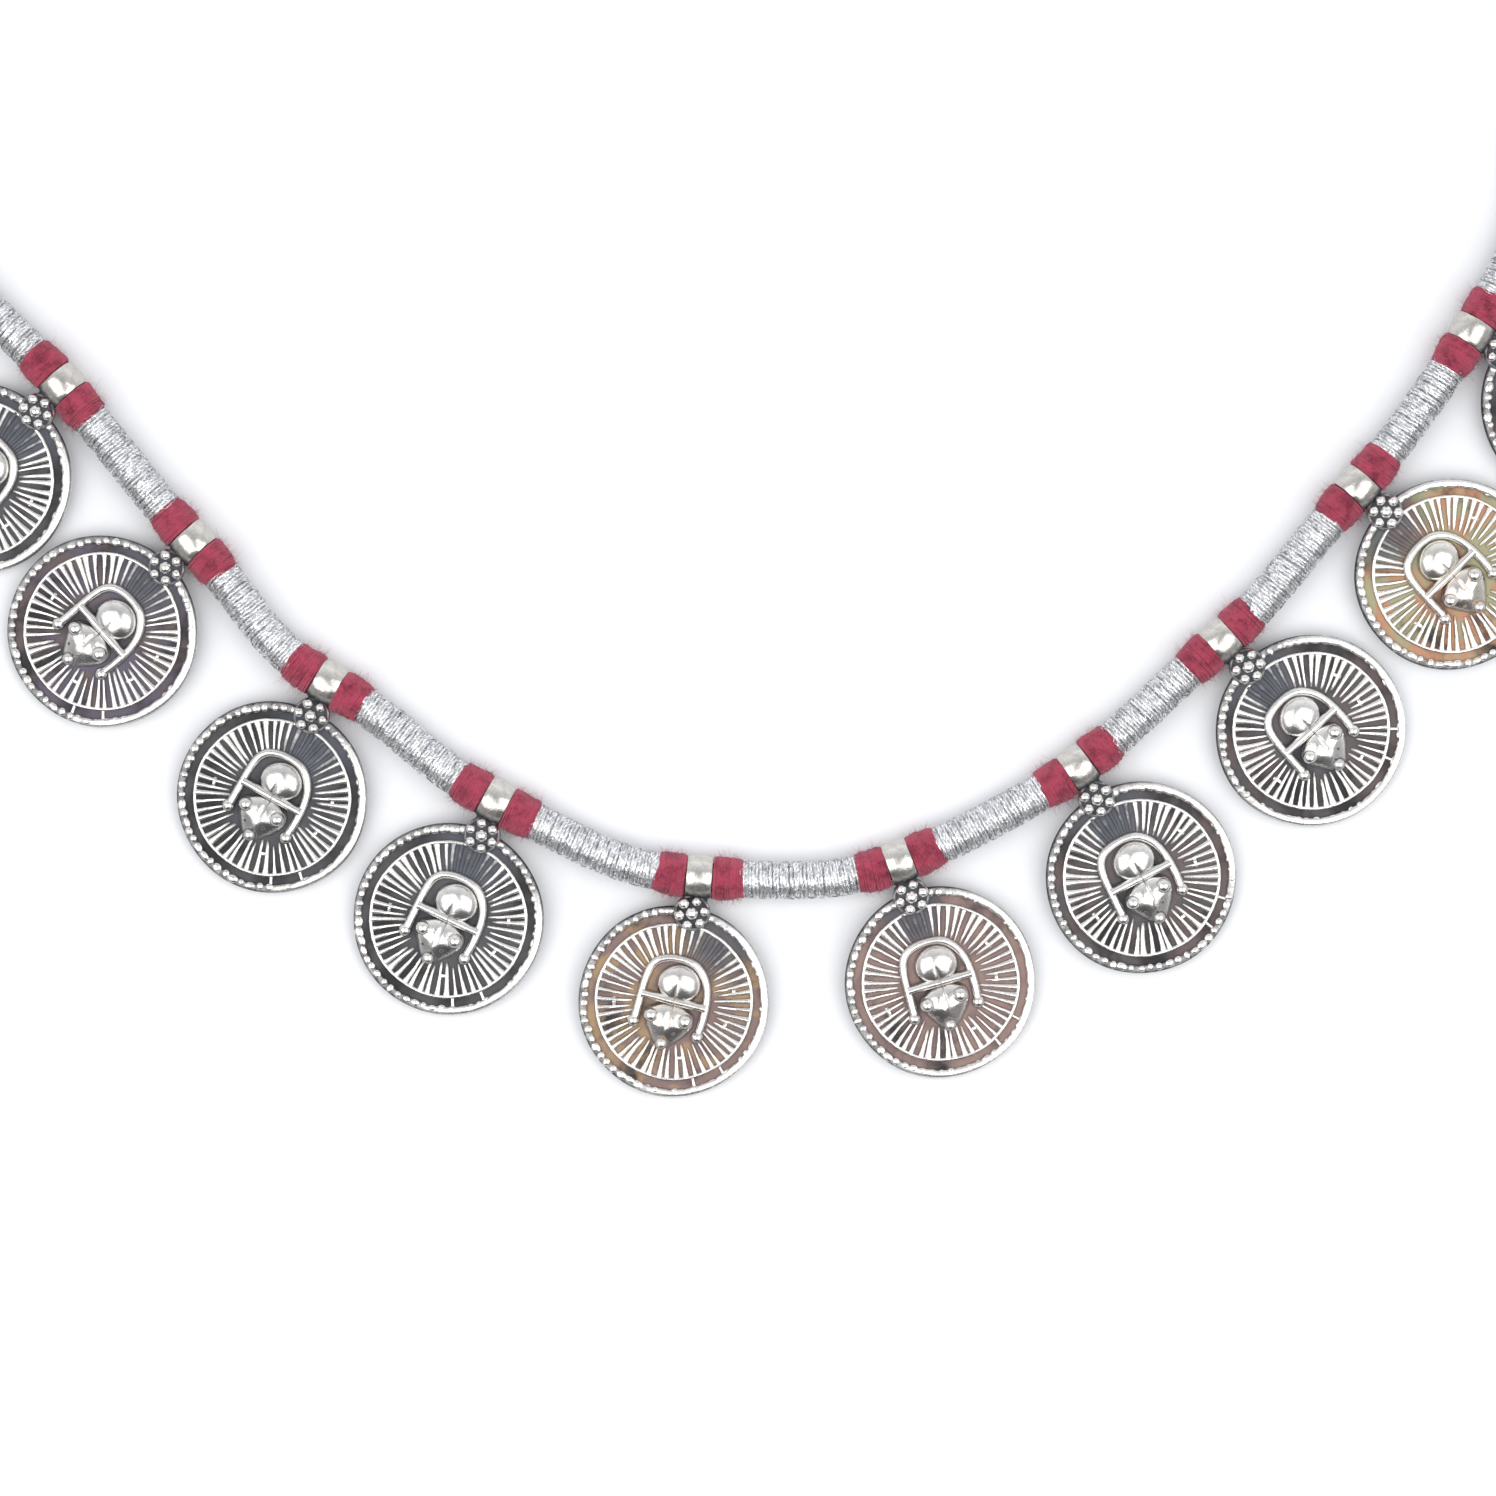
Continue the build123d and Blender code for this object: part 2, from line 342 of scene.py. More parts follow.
# One row a coin, from the right-hand end of the back: how it leans in degrees, two tints of its tarnish and
# how much of it, where the rim is worn smooth and where the face stays dull (middle and half spread in
# degrees, clockwise from the bail), how the rosette is turned and how bright the tops are.
grey = (0.17, 0.155, 0.15)
brown = (0.26, 0.18, 0.16)
copper = (0.42, 0.23, 0.14)
olive = (0.33, 0.31, 0.19)
rose = (0.2, 0.14, 0.13)
sand = (0.31, 0.215, 0.13)
plum = (0.22, 0.17, 0.24)
coinColumns = ("lean", "tints", "share", "worn", "dull", "turn", "polish")
coinRows = [
    (1.5, (grey, brown), 0.25, (80, 40), (0, 30), 12, 0.9),
    (-2.0, (grey, brown), 0.3, (100, 50), (5, 32), 30, 0.9),
    (-1.2, (grey, brown), 0.25, (80, 40), (0, 30), 5, 0.9),
    (-0.8, (copper, olive), 0.9, (95, 60), (-8, 30), 20, 1.0),
    (4.4, (grey, brown), 0.25, (150, 95), (0, 32), 0, 0.95),
    (-6.0, (grey, brown), 0.3, (75, 30), (2, 32), 12, 0.92),
    (-1.6, (rose, brown), 0.9, (125, 75), (-4, 22), 25, 1.0),
    (-7.0, (sand, rose), 0.95, (105, 60), (24, 30), 10, 1.0),
    (6.0, (grey, grey), 0.2, (115, 35), (-2, 34), 40, 0.88),
    (3.4, (grey, grey), 0.15, (90, 40), (14, 34), 22, 0.8),
    (1.2, (brown, plum), 0.3, (85, 40), (-4, 32), 15, 0.85),
    (5.5, (grey, grey), 0.2, (90, 40), (0, 32), 5, 0.9),
    (2.0, (grey, brown), 0.3, (110, 60), (6, 30), 33, 0.9),
    (-1.5, (grey, brown), 0.2, (80, 45), (0, 30), 8, 0.9),
]


def silverOf(number, look):
    silver = castSilver
    face = (0.0, 0.0, coinShape["thick"])
    recipe = materialRecipe(f"coinSilver{number:02d}")
    place = recipe.mark("spot", "Vector")
    grain = recipe.noise(place, silver["grain"], 4.0)
    fine = recipe.noise(place, silver["fine"])
    patch = recipe.noise(place, silver["patch"], 3.0, 0.6)
    across, along, height = recipe.axes(place, "XYZ")

    # The hollows: black, with a grey haze where nothing rubs, and the coin's own tints over that.
    dullMiddle, dullSpread = look["dull"]
    dullPoint = tuple(onCircle(silver["dullReach"], dullMiddle, coinShape["thick"]))
    fadeStart, fadeShare = silver["dullFade"]
    dull = 1 - recipe.away(place, dullPoint, fadeStart, fadeStart + dullSpread * fadeShare)
    middle = 1 - recipe.away(place, face, *silver["middleFade"])
    haze = recipe.between(patch, 0.42, 0.7) * 0.3 + middle * 0.2
    dark = recipe.blend(dull * 0.5 + haze, silver["patina"], silver["bloom"])
    which = recipe.between(recipe.noise(place, silver["hue"], 2.0), 0.42, 0.58)
    hue = recipe.blend(which, *look["tints"])
    offRosette = recipe.away(place, (0.0, coinShape["rosetteReach"], 1.3), *silver["rosetteFade"])
    insideRim = 1 - recipe.away(place, face, *silver["rimFade"])
    tint = recipe.between(patch + fine * 0.15 + look["share"] * 0.08, *silver["tarnish"])
    tint = tint * look["share"] * (1 - dull * 0.85) * offRosette * insideRim
    dark = recipe.blend(tint, dark, hue)

    # The tops: worn bright, apart from small pits and a painted shade line along the cleft's groove. The
    # relief mark they are read from also carries painted shade in places.
    worn = recipe.between(recipe.mark("relief") + grain * 0.35 + fine * 0.2 - 0.27, *silver["wear"])
    pits = 1
    for point in silver["pits"]:
        pits = recipe.away(place, point, *silver["pitSize"]) * pits
    pastFoot, pastCrown = [recipe.between(along, *fade) for fade in silver["cleftAlong"]]
    onDomes = recipe.between(height, *silver["domes"]) * pastFoot * (1 - pastCrown)
    cleftShade = (1 - recipe.between(across * across, 0.0006, 0.012)) * onDomes
    worn = worn * pits * (1 - cleftShade * 0.55)
    polished = recipe.between(height, *silver["highTops"])
    bright = recipe.blend(tint * 0.25, tuple(part * look["polish"] for part in silver["bright"]), hue)
    bright = recipe.blend(recipe.between(along, *silver["bailFrom"]), bright, silver["bail"])
    recipe.set(colour=recipe.blend(worn, dark, bright),
               metal=0.4 + worn * 0.6,
               rough=silver["rough"] - worn * silver["polish"] + grain * 0.12 - polished * worn * 0.06,
               gloss=0.25)
    recipe.bump(fine * 0.4 + grain, 0.45, 0.07)
    return recipe.owner


def polishedSilver():
    recipe = materialRecipe("barrelSilver")
    grain = recipe.noise(recipe.mark("spot", "Vector"), 1.2, 4.0)
    recipe.set(colour=recipe.blend(grain * 0.5, castSilver["bright"], castSilver["barrelShade"]),
               metal=1.0, rough=0.22 + grain * 0.15)
    recipe.bump(grain, 0.2, 0.05)
    return recipe.owner


threadSilver = {
    # Deep is painted shade in the gaps between the turns and on the threads' inner sides.
    "deep": (0.07, 0.072, 0.085),
    "dull": (0.55, 0.555, 0.575),
    # Bright is the painted glint on the plies' dashes.
    "bright": (0.97, 0.975, 0.985),
    "dashes": (1.15, 0.6, 3.7),  # how close they are along the thread, across it and from turn to turn
    "twist": (4.4, 12.0, 3.0),  # of the plies: along, across and at random
}


def woundSilver():
    # Two bright plies twisted together show as short dashes along each turn, with dull gaps between them.
    # The bright dashes are painted glints, and the gaps between the turns get painted shade.
    recipe = materialRecipe("woundSilverThread")
    place = recipe.mark("spot", "Vector")
    inputs = {0: place, 1: threadSilver["dashes"]}
    dashes = recipe.noise(recipe.node("ShaderNodeVectorMath", {"operation": "MULTIPLY"}, inputs), 1.0, 1.0)
    fine = recipe.noise(place, 4.0)
    # Painted glints: where the dashes are lit, the colour goes to the bright one.
    lit = recipe.between(dashes + fine * 0.12 - 0.06, 0.36, 0.56)
    along, across = recipe.axes(place, "XY")
    quick, slant, wander = threadSilver["twist"]
    angle = along * quick + across * slant + fine * wander
    twist = recipe.node("ShaderNodeMath", {"operation": "SINE"}, {0: angle})
    seam = 1 - recipe.between(twist * twist, 0.0, 0.3)
    lit = lit * (1 - seam * 0.8)
    ply = recipe.blend(lit, threadSilver["dull"], threadSilver["bright"])
    # Painted shade: the deep colour where the relief mark is low, in the gaps between turns.
    outOfGapShade = recipe.between(recipe.mark("relief"), 0.2, 0.8) * (1 - seam * 0.3)
    recipe.set(colour=recipe.blend(outOfGapShade, threadSilver["deep"], ply),
               metal=0.8 + lit * 0.2, rough=0.33 - lit * 0.1)
    recipe.bump(lit + fine * 0.4, 0.6, 0.07)
    return recipe.owner


cottonTones = {
    "crimsonDark": (0.115, 0.01, 0.026),
    "crimsonLight": (0.385, 0.052, 0.096),
    "crimsonSheen": (0.9, 0.5, 0.55),
    "coreDark": (0.05, 0.006, 0.012),
    "coreLight": (0.2, 0.012, 0.03),
    "rough": 0.95,
    "gloss": 0.15,
}


def crimsonThread():
    recipe = materialRecipe("crimsonThread")
    place = recipe.mark("spot", "Vector")
    cloud = recipe.noise(place, 0.7, 4.0)
    fibre = recipe.noise(place, 3.2, 5.0, 0.7)
    fine = recipe.noise(place, 9.0)
    # Mottled at random, and a little lighter on the threads' outer faces than on their inner ones and the
    # under-layer, as painted shade between the turns.
    lit = recipe.between(recipe.mark("relief") * 0.2 + cloud * 0.9 + fibre * 0.7, 0.66, 1.12)
    recipe.set(colour=recipe.blend(lit, cottonTones["crimsonDark"], cottonTones["crimsonLight"]),
               sheen=0.45, sheenRough=0.5, sheenTint=cottonTones["crimsonSheen"],
               rough=cottonTones["rough"], gloss=cottonTones["gloss"])
    recipe.bump(fibre + fine * 0.6, 1.0, 0.12)
    return recipe.owner


def coreCotton():
    recipe = materialRecipe("coreCotton")
    place = recipe.node("ShaderNodeTexCoord", {}, {}, output="Object")
    cloud = recipe.noise(place, 2500.0)  # this place is in metres
    recipe.set(colour=recipe.blend(cloud, cottonTones["coreDark"], cottonTones["coreLight"]),
               rough=cottonTones["rough"], gloss=cottonTones["gloss"])
    recipe.bump(cloud, 0.5, 0.1)
    return recipe.owner


def paleFloor():
    recipe = materialRecipe("paleFloor")
    place = recipe.node("ShaderNodeTexCoord", {}, {}, output="Object")
    cloud = recipe.noise(place, 6.0, 2.0)
    recipe.set(colour=recipe.blend(cloud, (0.738, 0.75, 0.77), (0.748, 0.759, 0.776)),
               rough=0.9, gloss=0.1)
    return recipe.owner


print("materials ready")


cord = {
    "height": 2.35,
    "length": 0.503,  # metres
    "coreRadius": 1.55,
    "underRadius": 1.68,  # a bed of thread that hides the core
    "bedStep": 0.9,
    "silverRadius": 1.79,  # to the middle of the wound thread
    "silverHigh": 0.17,
    "silverWide": 0.205,
    "silverPitch": 0.36,
    "silverDrift": 0.085,
    "silverLift": 0.04,
    "silverKink": 0.055,
    "perTurn": 15,
    "sides": 5,
    "strayRadius": 0.06,  # a thin strand that crosses the turns
    "strayPitch": 0.62,
    "straySway": 0.42,
    "strayPerTurn": 18,
}

# The route in metres, as the solid's, from the barrel's right end round by the coins and back.
cordRoute = [
    (0.0018, 0.07875), (0.0234, 0.07875), (0.0471, 0.0776), (0.0681, 0.072), (0.0839, 0.0593),
    (0.0915, 0.0435), (0.0918, 0.0272), (0.0882, 0.0132), (0.0832, 0.0032), (0.0788, -0.0038),
    (0.0718, -0.0136), (0.066, -0.02), (0.0582, -0.0298), (0.0518, -0.0353), (0.0424, -0.0442),
    (0.0356, -0.049), (0.0252, -0.0545), (0.0158, -0.058), (0.0052, -0.0582), (-0.007, -0.0572),
    (-0.0176, -0.052), (-0.0262, -0.0474), (-0.035, -0.0398), (-0.044, -0.0348), (-0.0508, -0.0255),
    (-0.056, -0.02), (-0.0644, -0.0095), (-0.0692, -0.0038), (-0.0786, 0.0052), (-0.0868, 0.0146),
    (-0.092, 0.0266), (-0.0908, 0.0436), (-0.0824, 0.0598), (-0.0676, 0.072), (-0.0488, 0.078),
    (-0.0244, 0.07875), (-0.0018, 0.07875),
]


class CordLine:
    # The cord's own smooth line, read from its curve, with places by distance along it.
    def __init__(self, curveThing):
        bpy.context.view_layer.update()
        mesh = bpy.data.meshes.new_from_object(curveThing)
        self.points = [vertex.co / mm for vertex in mesh.vertices]
        bpy.data.meshes.remove(mesh)
        self.sums = [0.0]
        for here, there in zip(self.points, self.points[1:]):
            self.sums.append(self.sums[-1] + (there - here).length)
        self.length = self.sums[-1]
        self.ways = [wayAt(self.points, i) for i in range(len(self.points))]

    def at(self, distance):
        i = clamped(bisect.bisect_left(self.sums, distance) - 1, 0, len(self.sums) - 2)
        t = (distance - self.sums[i]) / (self.sums[i + 1] - self.sums[i])
        point = self.points[i].lerp(self.points[i + 1], t)
        way = self.ways[i].lerp(self.ways[i + 1], t).normalized()
        return point, way

    def nearest(self, target):
        # First the nearest of the line's points, then the nearest place within 2 mm of it.
        best = min(range(len(self.points)), key=lambda i: (self.points[i] - target).length)
        around = [self.sums[best] + step * 0.05 for step in range(-40, 41)]
        return min(around, key=lambda distance: (self.at(distance)[0] - target).length)


def makeCore():
    curve = bpy.data.curves.new("coreCord", "CURVE")
    curve.dimensions = "3D"
    curve.resolution_u = 24
    spline = curve.splines.new("NURBS")
    spline.points.add(len(cordRoute) - 1)
    for point, (x, y) in zip(spline.points, cordRoute):
        point.co = (x, y, cord["height"] * mm, 1)
    spline.order_u = 3
    spline.use_endpoint_u = True
    thing = addThing("coreCord", curve)
    line = CordLine(thing)
    curve.bevel_depth = cord["coreRadius"] * mm
    curve.bevel_resolution = 3
    curve.use_fill_caps = True
    curve.materials.append(coreCotton())
    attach(thing, "root")
    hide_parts("core_cord")
    return line


cordLine = makeCore()
print("cord laid,", round(cordLine.length, 1), "mm")

coinCount = len(coinRows)


def middleOf(node):
    low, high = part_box(node)
    return (Vector(low) + Vector(high)) / 2 / mm


# Each bail sits midway between its two bindings, on the cord's line.
bailStations = []
for number in range(1, coinCount + 1):
    middle = (middleOf(f"binding_{number:02d}_a") + middleOf(f"binding_{number:02d}_b")) / 2
    bailStations.append(cordLine.nearest(middle))


def crossRing(distance, radius, turn):
    # A point round the cord, with the directions out from it and along it.
    point, way = cordLine.at(distance)
    side = Vector((-way.y, way.x, 0))
    out = side * cos(turn) + Vector((0, 0, 1)) * sin(turn)
    return point + out * radius, out, way


def wander(chance, most, turns):
    # How far each turn of a thread strays from its even place.
    return [chance.uniform(-most, most) for _ in range(int(turns) + 3)]


def windSilver(name, start, end, chance):
    # A bed, one long thread wound close on it, and a thin one that strays across the turns. The pattern is
    # read from the threads' own measures: how far along, how far across, and which turn.
    piece = Piece(name)
    span = end - start
    rows = max(4, int(span / cord["bedStep"]))
    bed = []
    for row in range(rows + 1):
        distance = start + span * row / rows
        bed.append([crossRing(distance, cord["underRadius"], tau * k / 14)[0] for k in range(14)])
    piece.add(bed, relief=0.5)

    turns = span / cord["silverPitch"]
    count = int(turns * cord["perTurn"])
    drifts = wander(chance, cord["silverDrift"], turns)
    lifts = wander(chance, cord["silverLift"], turns)
    radius, kink, wide, around = cord["silverRadius"], cord["silverKink"], cord["silverWide"], cord["sides"]
    rings = []
    spots = []
    for i in range(count + 1):
        share = i / count
        turn = tau * turns * share
        lap = turn / tau
        distance = start + span * share + eased(drifts, lap) + chance.uniform(-kink, kink)
        lift = eased(lifts, lap) + chance.uniform(-kink, kink) * 0.6
        centre, out, way = crossRing(clamped(distance, start, end), radius + lift, turn)
        rings.append(threadRing(centre, out, way, cord["silverHigh"], wide, around))
        spots += [Vector((turn * radius, sin(tau * k / around) * wide, lap * 1.3)) for k in range(around)]

    turns = span / cord["strayPitch"]
    count = int(turns * cord["strayPerTurn"])
    thin = cord["strayRadius"]
    strays = []
    for i in range(count + 1):
        share = i / count
        turn = -tau * turns * share
        sway = chance.uniform(-cord["straySway"], cord["straySway"])
        lift = cord["silverHigh"] + chance.uniform(0.0, 0.05)
        distance = clamped(start + span * share + sway, start, end)
        centre, out, way = crossRing(distance, radius + lift, turn)
        strays.append(threadRing(centre, out, way, thin, thin, 3))
        spots += [Vector((turn * 2.1, sin(tau * k / 3) * 0.1, turn * 0.4)) for k in range(3)]
    first = len(piece.points)
    # Relief 1 on the thread's outer faces, low on its inner ones, and half on the bed: the material turns
    # the low parts into painted shade between the turns.
    piece.add(rings, relief=lambda row, column: 1.0 if column in (0, 1, around - 1) else 0.2)
    piece.add(strays, relief=0.9)
    piece.spot[first:] = spots
    return piece


bindingShape = {
    "near": 1.42,  # from the bail's middle
    "far": 4.62,
    "radius": 2.13,
    "pinch": 0.16,  # how far its ends are drawn in
    "bulge": 0.12,
    "flare": 0.24,  # how much wider it is against the bail
    "skew": 0.16,
    "spread": (0.05, 0.24),  # how far its far edge slants
    "overlap": 0.35,  # how far the silver runs in under it
    "drift": 0.03,
    "lift": 0.05,
    "thread": 0.12,
    "pitch": 0.165,
    "perTurn": 20,
    "hairs": 210,
    "hairLength": (0.15, 0.95),
    "hairRadius": 0.014,
}

barrelShape = {
    "middle": (0.0, 78.75, 2.35),
    "half": 6.0,  # of its length
    "radius": 2.35,
    "bore": 1.66,
}

silverMaterial = woundSilver()
chance = random.Random(11)
underBinding = bindingShape["far"] - bindingShape["overlap"]
barrelEdge = barrelShape["half"] + 0.05 - cordRoute[0][0] / mm
starts = [barrelEdge] + [station + underBinding for station in bailStations]
ends = [station - underBinding for station in bailStations] + [cordLine.length - barrelEdge]
wraps = [(f"silverWrap{k:02d}", f"silver_wrap_{k:02d}", k) for k in range(1, coinCount)]
wraps += [("backWrapA", "back_wrap_a", 0), ("backWrapB", "back_wrap_b", coinCount)]
for name, node, k in wraps:
    windSilver(name, starts[k], ends[k], chance).make(silverMaterial, "silver_thread", node)
print("silver thread wound")


def windCrimson(name, station, facing, chance):
    # Facing is -1 or 1: the side of the bail that the binding lies on.
    shape = bindingShape
    piece = Piece(name)
    near, far = shape["near"], shape["far"]
    skew = chance.uniform(-shape["skew"], shape["skew"])
    slant = chance.uniform(*shape["spread"])
    skewTurn = chance.uniform(0, tau)

    def radiusAt(share, turn):
        body = 1 - (2 * share - 1) ** 4
        rough = 0.05 * sin(3 * turn + 5 * share + skewTurn) + 0.03 * sin(7 * turn - 9 * share)
        full = (shape["pinch"] + shape["bulge"]) * body * 0.8
        return shape["radius"] - shape["pinch"] + full + rough + shape["flare"] * (0.5 - share)

    def onBinding(share, turn, lift=0.0):
        distance = near + (far - near) * share
        distance += skew * cos(turn - skewTurn) * sin(pi * min(share * 1.2, 1.0))
        distance += slant * cos(turn + skewTurn) * share ** 3
        radius = radiusAt(share, turn) + lift
        point, out, way = crossRing(station + facing * distance, radius, turn)
        point.z = max(point.z, shape["thread"])  # flattened where it lies on the floor
        return point, out, way

    under = [[onBinding(row / 8, tau * k / 24, -0.1)[0] for k in range(24)] for row in range(9)]
    piece.add(under, relief=0.2)

    turns = (far - near) / shape["pitch"]
    count = int(turns * shape["perTurn"])
    drifts = wander(chance, shape["drift"], turns)
    lifts = wander(chance, shape["lift"], turns)
    rings = []
    for i in range(count + 1):
        share = i / count
        lap = turns * share
        lift = eased(lifts, lap) + chance.uniform(-0.02, 0.02)
        centre, out, way = onBinding(clamped(share + eased(drifts, lap)), -tau * lap, lift)
        size = shape["thread"] * chance.uniform(0.85, 1.15)
        rings.append(threadRing(centre, out, way, size * 0.8, size, 5))
    # Relief high on the thread's outer faces and lower on its inner ones and on the under-layer; the
    # material paints the lower parts a little darker, as shade between the turns.
    piece.add(rings, relief=lambda row, column: 0.9 if column in (0, 1, 4) else 0.45)

    # Stray hairs: soft, thin and bent.
    for _ in range(shape["hairs"]):
        share = chance.uniform(0.02, 0.98)
        turn = chance.uniform(0, tau)
        root, out, way = onBinding(share, turn, 0.1)
        if root.z < 0.9:
            continue
        long = chance.uniform(*shape["hairLength"])
        lean = Vector((chance.uniform(-1, 1), chance.uniform(-1, 1), chance.uniform(-0.3, 0.8)))
        heading = (out * 0.9 + lean).normalized()
        curl = Vector((chance.uniform(-1, 1), chance.uniform(-1, 1), chance.uniform(-1, 0.4))) * 0.5
        side = heading.cross(curl).normalized()
        other = side.cross(heading).normalized()
        rings = []
        for step in range(4):
            t = step / 3
            point = root + heading * long * t + curl * long * t * t
            point.z = clamped(point.z, 0.05, 4.9)
            size = shape["hairRadius"] * (1 - 0.6 * t)
            rings.append(threadRing(point, side, other, size, size, 3))
        piece.add(rings)
    return piece


crimsonMaterial = crimsonThread()
chance = random.Random(23)
for number, station in enumerate(bailStations, start=1):
    for side, facing in (("a", -1), ("b", 1)):
        piece = windCrimson(f"binding{number:02d}{side}", station, facing, chance)
        piece.make(crimsonMaterial, "crimson_thread", f"binding_{number:02d}_{side}")
print("bindings wound")


coinShape = {
    "radius": 10.15,
    "thick": 0.9,
    "reach": 13.45,
    "backRound": 0.25,
    "field": 0.86,  # the face's level between the raised lines
    "band": (9.2, 10.13),  # the low band that carries the beads
    "beads": 60,
    "beadRing": 9.6,
    "beadWide": (0.8, 0.9, 1.0, 1.15, 1.45),
    "beadLong": (0.74, 1.02),
    "beadHigh": (0.46, 0.72),
    "ringRadius": 8.2,
    "ringWidth": 0.44,
    "ringHigh": 0.3,
    "rays": 53,
    "rayWidth": 0.52,
    "rayHigh": 0.3,
    "rayStart": (4.05, 4.75),
    "archRays": (58, 4.65),  # within so many degrees of the bail, none starts nearer than this
    "lowRays": (140, 215, 0.45),  # between these directions they start so much farther out
    "links": [(70, 6.4), (105, 5.9), (163, 6.0), (260, 6.3)],
    "linkHalf": 0.16,
    "grooveBars": [134, 155],
    "barReach": (8.3, 9.5),
    "rosetteReach": 9.65,
}

motifShape = {
    "wire": 0.47,
    "arch": [(-3.82, -2.75), (-3.68, -1.9), (-3.58, 0.0), (-3.42, 1.9), (-3.08, 3.3), (-2.35, 4.15),
             (-1.1, 4.55), (0.2, 4.55), (1.35, 4.3), (2.25, 3.65), (2.95, 2.6), (3.3, 1.4),
             (3.4, 0.0), (3.34, -1.5), (3.12, -3.2)],
    "archBall": (1.4, 1.3),
    "crossbar": [(-3.55, 0.3), (-1.8, 0.22), (0.0, 0.1), (1.8, 0.02), (3.38, -0.05)],
    "crossbarWire": 0.45,
    "upperDome": {"middle": (0.15, 1.85), "across": (4.8, 4.5), "high": 1.35, "crown": 0.5},
    "lowerOutline": [(-0.2, -0.1), (0.8, -0.15), (1.6, -0.45), (2.25, -0.95), (2.55, -1.7), (2.4, -2.6),
                     (1.85, -3.45), (1.05, -4.25), (0.3, -4.95), (-0.45, -5.2), (-1.15, -4.8), (-1.8, -4.0),
                     (-2.4, -3.1), (-2.8, -2.2), (-2.85, -1.5), (-2.45, -0.85), (-1.4, -0.25)],
    "lowerMiddle": (-0.2, -2.1),
    "lowerHigh": 1.3,
    "eyes": [((-2.12, -1.72), 1.5, 1.0), ((1.55, -1.75), 1.6, 1.1)],
    "tip": ((-0.45, -4.55), 1.4),
    "cleft": [(0.13, 0.15), (0.07, 0.6)],  # depths and widths of the sharp groove and the soft one round it
}


def fromMiddle(degrees, middle):
    # The angle between two directions.
    return abs((degrees - middle + 180) % 360 - 180)


def dulled(degrees, dull, least=0.6):
    # Less than 1 near the bail, where nothing polishes the relief.
    return min(1.0, least + (1 - least) * (fromMiddle(degrees, dull[0]) / dull[1]) ** 2)


def wornShare(degrees, spread):
    # 1 where the rim is worn smooth and 0 where the beads are whole.
    return 1 - clamped((fromMiddle(degrees, spread[0]) - spread[1]) / 35)


def outOfRound(degrees, phase):
    # Each coin is cut by hand, so its edge wanders a little inwards.
    turn = radians(degrees)
    return 0.995 + 0.005 * sin(2 * turn + phase) + 0.003 * sin(5 * turn + 3 * phase)


def coinBlank(piece, spread, phase):
    # Each row of the profile is a radius, a height and how worn it is. The low values on the side wall also
    # paint shade there, for a dark outline round the coin.
    top, edge, field = coinShape["thick"], coinShape["radius"], coinShape["field"]
    profile = [(0.02, 0.0, 0.4), (5.0, 0.0, 0.45), (edge - 0.3, 0.0, 0.55), (edge - 0.07, 0.08, 0.5),
               (edge, 0.3, 0.25), (edge, 0.62, 0.2), (edge - 0.06, 0.82, 0.25), (edge - 0.2, top, 0.15),
               (9.3, top, 0.2), (9.1, 0.84, 0.0), (8.7, 0.83, 0.0), (8.45, field, 0.1),
               (7.9, field, 0.0), (6.6, field, 0.0), (5.4, 0.88, 0.0), (4.2, top, 0.0), (2.0, top, 0.0),
               (0.02, top, 0.0)]
    rings = []
    for radius, height, _ in profile:
        ring = []
        for k in range(120):
            degrees = 3.0 * k
            wobble = outOfRound(degrees, phase) if radius > 9.5 else 1
            dip = 0.012 * sin(radians(degrees * 5)) * sin(radius)
            ring.append(onCircle(radius * wobble, degrees, height + (dip if height > 0.5 else 0)))
        rings.append(ring)

    def blankRelief(row, column):
        return profile[row][2] + (0.5 * wornShare(3 * column, spread) if 3 < row < 8 else 0)

    piece.add(rings, relief=blankRelief)


def coinRim(piece, chance, spread, dull, phase):
    # A low band all round, and on it the beads, whole on one side and worn together on the other.
    shape = coinShape
    top = shape["thick"]
    within, without = shape["band"]
    band = []
    for k in range(120):
        degrees = 3 * k
        inner = within + 0.05 * sin(k * 1.9) + 0.04 * sin(k * 0.7)
        high = 0.2 + 0.12 * wornShare(degrees, spread)
        section = [(inner, -0.1), (inner + 0.1, high * 0.7), (inner + 0.28, high), (without - 0.21, high),
                   (without - 0.05, high * 0.55), (without, -0.1)]
        wobble = outOfRound(degrees, phase)
        band.append([onCircle(radius * wobble, degrees, top + up) for radius, up in section])

    def bandRelief(row, column):
        return (0.1, 0.75, 1.0, 1.0, 0.9, 0.5)[column] * (0.44 + 0.3 * wornShare(3 * row, spread))

    piece.add(band, relief=bandRelief, closed=True)
    for i in range(shape["beads"]):
        degrees = i * 360 / shape["beads"] + chance.uniform(-0.6, 0.6)
        reach = shape["beadRing"] * outOfRound(degrees, phase) + chance.uniform(-0.09, 0.07)
        centre = onCircle(reach, degrees, top + 0.02)
        wide = chance.choice(shape["beadWide"])
        long = chance.uniform(*shape["beadLong"])
        high = chance.uniform(*shape["beadHigh"]) - 0.06 * wornShare(degrees, spread)
        rings = ballRings(Vector(), 1.0, high, 12, 5, -0.2)
        turn = Matrix.Rotation(-radians(degrees + chance.uniform(-9, 9)), 4, "Z")
        placed = [[centre + turn @ Vector((p.x * wide, p.y * long, p.z)) for p in ring] for ring in rings]
        piece.add(placed, relief=lambda row, column: min(1.0, 0.45 + row * 0.4) * dulled(degrees, dull))


